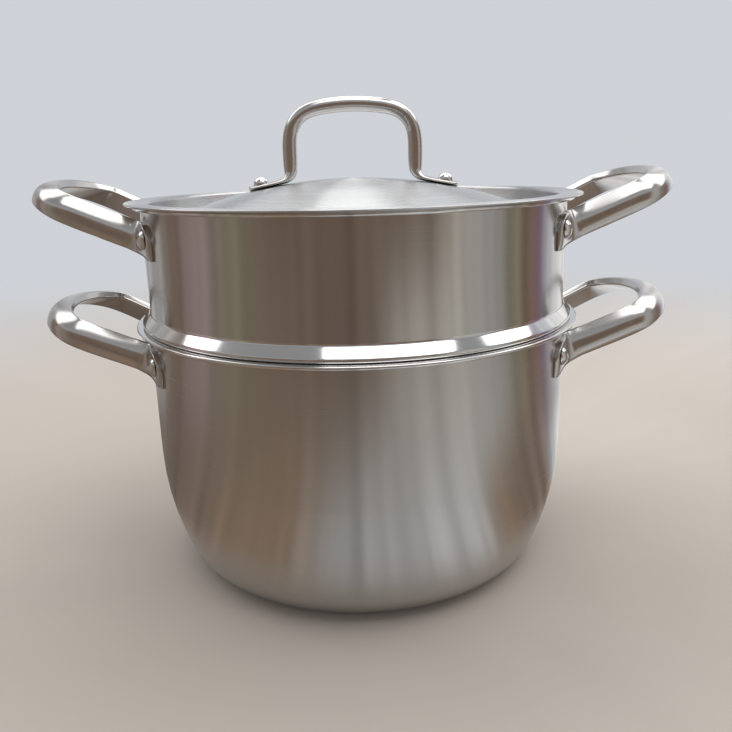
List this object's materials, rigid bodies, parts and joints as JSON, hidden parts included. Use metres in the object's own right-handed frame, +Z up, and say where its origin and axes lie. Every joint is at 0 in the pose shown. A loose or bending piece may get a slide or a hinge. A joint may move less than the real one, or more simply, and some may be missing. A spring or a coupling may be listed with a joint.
{
  "type": "steamer pot",
  "caption": "Stainless steel steamer pot: a deep pot with loop side handles, a perforated steamer tier seated on its rim and a domed lid with an arched handle.",
  "frame": {"origin": "centre of the flat base, on the surface that the pot stands on", "axes": "+Z up along the axis of the pot, +X and -X towards the side handles, -Y towards the viewer of the picture"},
  "size_m": [0.3638, 0.2576, 0.2678],
  "materials": {
    "brushed_steel": "fine brushing round the axis",
    "polished_steel": "polished"
  },
  "bodies": {
    "pot": {"pot_body": "brushed_steel", "pot_handle_right": "polished_steel", "pot_handle_left": "polished_steel", "pot_rivet_right_front": "polished_steel", "pot_rivet_right_rear": "polished_steel", "pot_rivet_left_rear": "polished_steel", "pot_rivet_left_front": "polished_steel"},
    "steamer": {"steamer_body": "brushed_steel", "steamer_handle_right": "polished_steel", "steamer_handle_left": "polished_steel", "steamer_rivet_right_front": "polished_steel", "steamer_rivet_right_rear": "polished_steel", "steamer_rivet_left_rear": "polished_steel", "steamer_rivet_left_front": "polished_steel"},
    "lid": {"lid": "brushed_steel", "lid_handle": "polished_steel", "lid_rivet_right": "polished_steel", "lid_rivet_left": "polished_steel"}
  },
  "joints": [
    {"name": "steamer_lift", "type": "slide", "parent": "pot", "child": "steamer", "axis": [0, 0, 1], "range_m": [0, 0.15]},
    {"name": "lid_lift", "type": "slide", "parent": "steamer", "child": "lid", "axis": [0, 0, 1], "range_m": [0, 0.15]}
  ]
}
